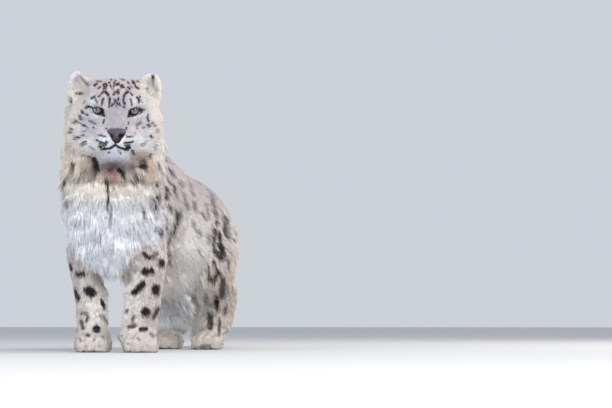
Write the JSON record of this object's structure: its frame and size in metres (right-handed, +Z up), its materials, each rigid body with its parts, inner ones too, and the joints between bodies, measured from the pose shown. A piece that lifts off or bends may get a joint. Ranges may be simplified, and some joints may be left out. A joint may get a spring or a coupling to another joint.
{
  "type": "snow leopard",
  "caption": "Life-size snow leopard standing on four broad feet, head turned to its left, in long winter coat, thick tail trailing on the floor behind.",
  "frame": {"origin": "on the floor, below the centre of the whole animal's box", "axes": "+Z up, the animal faces -Y, its left side is +X"},
  "size_m": [0.375, 1.5034, 0.7149],
  "materials": {
    "fur": "soft smoky grey and cream fur with dark rosettes",
    "pale_fur": "long soft whitish fur",
    "nose_leather": "bare, finely pebbled nose skin, slightly moist",
    "eye": "wet clear cornea over a pale green-grey iris"
  },
  "bodies": {
    "root": {"head": "fur", "nose": "nose_leather", "ear_left": "fur", "ear_right": "fur", "eye_left": "eye", "eye_right": "eye", "neck": "fur", "chest": "pale_fur", "torso": "fur", "rump": "fur", "foreleg_left": "fur", "foreleg_right": "fur", "fore_paw_left": "fur", "fore_paw_right": "fur", "hind_leg_left": "fur", "hind_leg_right": "fur", "hind_paw_left": "fur", "hind_paw_right": "fur", "tail_base": "fur", "tail_middle": "fur", "tail_tip": "fur"}
  },
  "joints": []
}
